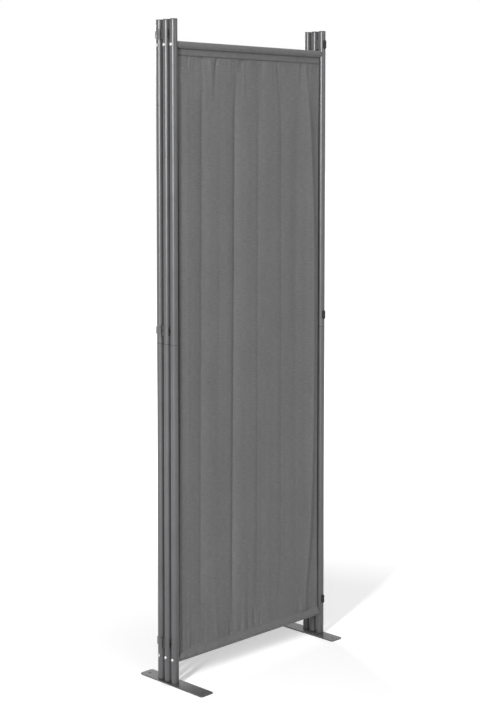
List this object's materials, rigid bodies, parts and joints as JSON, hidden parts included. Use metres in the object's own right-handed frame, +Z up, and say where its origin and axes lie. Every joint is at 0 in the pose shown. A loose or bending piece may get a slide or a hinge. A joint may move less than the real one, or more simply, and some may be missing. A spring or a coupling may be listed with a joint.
{
  "type": "folding screen",
  "caption": "Free-standing folding screen: hinged tube frames with cloth panels, standing folded on flat foot plates.",
  "frame": {"origin": "on the ground under the centre of the middle panel, which is the centre of the folded screen's footprint", "axes": "+X along the panels to the right, +Y to the back across the folded panels, +Z up along the posts"},
  "size_m": [0.572, 0.268, 1.65],
  "materials": {
    "post": "satin anthracite powder coat",
    "bar": "satin anthracite powder coat",
    "foot": "satin anthracite powder coat",
    "plug_steel": "bare threaded steel",
    "zinc": "bright zinc plate",
    "hinge_black": "black coat",
    "black_plastic": "moulded, matt",
    "cloth": "plain-woven grey polyester"
  },
  "bodies": {
    "front_panel": {"front_left_upper_tube": "post", "front_left_lower_tube": "post", "front_right_upper_tube": "post", "front_right_lower_tube": "post", "front_top_bar": "bar", "front_bottom_bar": "bar", "front_bar_plugs": "plug_steel", "front_bar_screws": "zinc", "front_post_caps": "black_plastic", "front_joiners": "black_plastic", "front_cloth": "cloth", "front_foot_plate": "foot", "front_foot_screw": "zinc", "front_foot_plug": "black_plastic", "front_right_end_plug": "black_plastic", "right_hinge_front_leaves": "hinge_black", "right_hinge_pins": "hinge_black", "right_hinge_front_bolts": "hinge_black", "right_hinge_washers": "hinge_black", "right_hinge_cap_nuts": "hinge_black"},
    "middle_panel": {"middle_left_upper_tube": "post", "middle_left_lower_tube": "post", "middle_right_upper_tube": "post", "middle_right_lower_tube": "post", "middle_top_bar": "bar", "middle_bottom_bar": "bar", "middle_bar_plugs": "plug_steel", "middle_bar_screws": "zinc", "middle_post_caps": "black_plastic", "middle_joiners": "black_plastic", "middle_cloth": "cloth", "middle_left_end_plug": "black_plastic", "middle_right_end_plug": "black_plastic", "right_hinge_rear_leaves": "hinge_black", "right_hinge_saddles": "hinge_black", "right_hinge_rear_bolts": "hinge_black", "left_hinge_front_leaves": "hinge_black", "left_hinge_pins": "hinge_black", "left_hinge_front_bolts": "hinge_black", "left_hinge_washers": "hinge_black", "left_hinge_cap_nuts": "hinge_black"},
    "rear_panel": {"rear_left_upper_tube": "post", "rear_left_lower_tube": "post", "rear_right_upper_tube": "post", "rear_right_lower_tube": "post", "rear_top_bar": "bar", "rear_bottom_bar": "bar", "rear_bar_plugs": "plug_steel", "rear_bar_screws": "zinc", "rear_post_caps": "black_plastic", "rear_joiners": "black_plastic", "rear_cloth": "cloth", "rear_foot_plate": "foot", "rear_foot_screw": "zinc", "rear_foot_plug": "black_plastic", "rear_left_end_plug": "black_plastic", "left_hinge_rear_leaves": "hinge_black", "left_hinge_saddles": "hinge_black", "left_hinge_rear_bolts": "hinge_black"}
  },
  "joints": [
    {"name": "right_hinge", "type": "hinge", "parent": "front_panel", "child": "middle_panel", "pos_m": [0.2825, -0.0125, 0.885], "axis": [0, 0, -1], "range_deg": [0, 180]},
    {"name": "left_hinge", "type": "hinge", "parent": "middle_panel", "child": "rear_panel", "pos_m": [-0.2825, 0.0125, 0.885], "axis": [0, 0, 1], "range_deg": [0, 180]}
  ]
}
